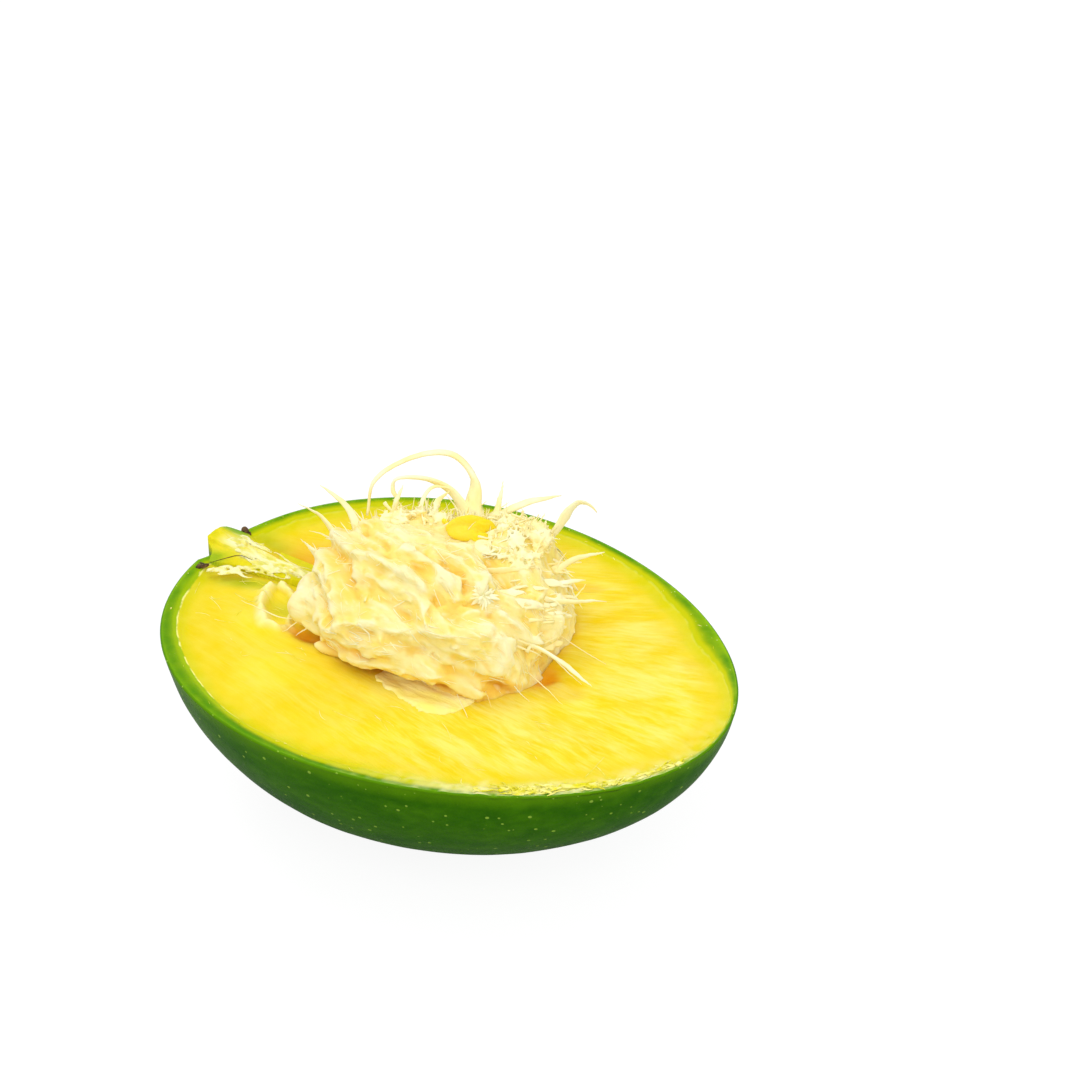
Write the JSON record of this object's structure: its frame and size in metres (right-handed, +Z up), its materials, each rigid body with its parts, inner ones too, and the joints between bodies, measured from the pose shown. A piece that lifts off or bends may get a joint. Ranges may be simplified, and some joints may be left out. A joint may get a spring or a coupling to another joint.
{
  "type": "hog plum half",
  "caption": "Half of a ripe hog plum, cut lengthwise: green skin, yellow flesh and the fibrous stone still seated in it, lying on its rounded underside.",
  "frame": {"origin": "centre of the small flat spot on the underside that the half rests on", "axes": "+Z up, out of the cut face; +X along the fruit's axis from the stem end to the tip; +Y across it"},
  "size_m": [0.0771, 0.0596, 0.0399],
  "materials": {
    "fruit": "waxy green skin over moist yellow flesh",
    "stone_coat": "moist matted cream fibre",
    "flesh": "moist yellow flesh",
    "scar": "dry dark cork",
    "fibre": "pale moist plant fibre"
  },
  "bodies": {
    "root": {"cut_half": "fruit", "stone": "stone_coat", "clinging_flesh": "flesh", "stem_scar": "scar", "fibre_arch": "fibre", "fibre_curl": "fibre", "fibre_left_spike": "fibre", "fibre_left_low": "fibre", "fibre_left_thorn": "fibre", "fibre_leaf": "fibre", "fibre_hook": "fibre", "fibre_tuft": "fibre", "fibre_back_spike": "fibre", "fibre_back_long": "fibre", "fibre_ribbon": "fibre", "fibre_right_top": "fibre", "fibre_right_mid": "fibre", "fibre_right_blade": "fibre"}
  },
  "joints": []
}
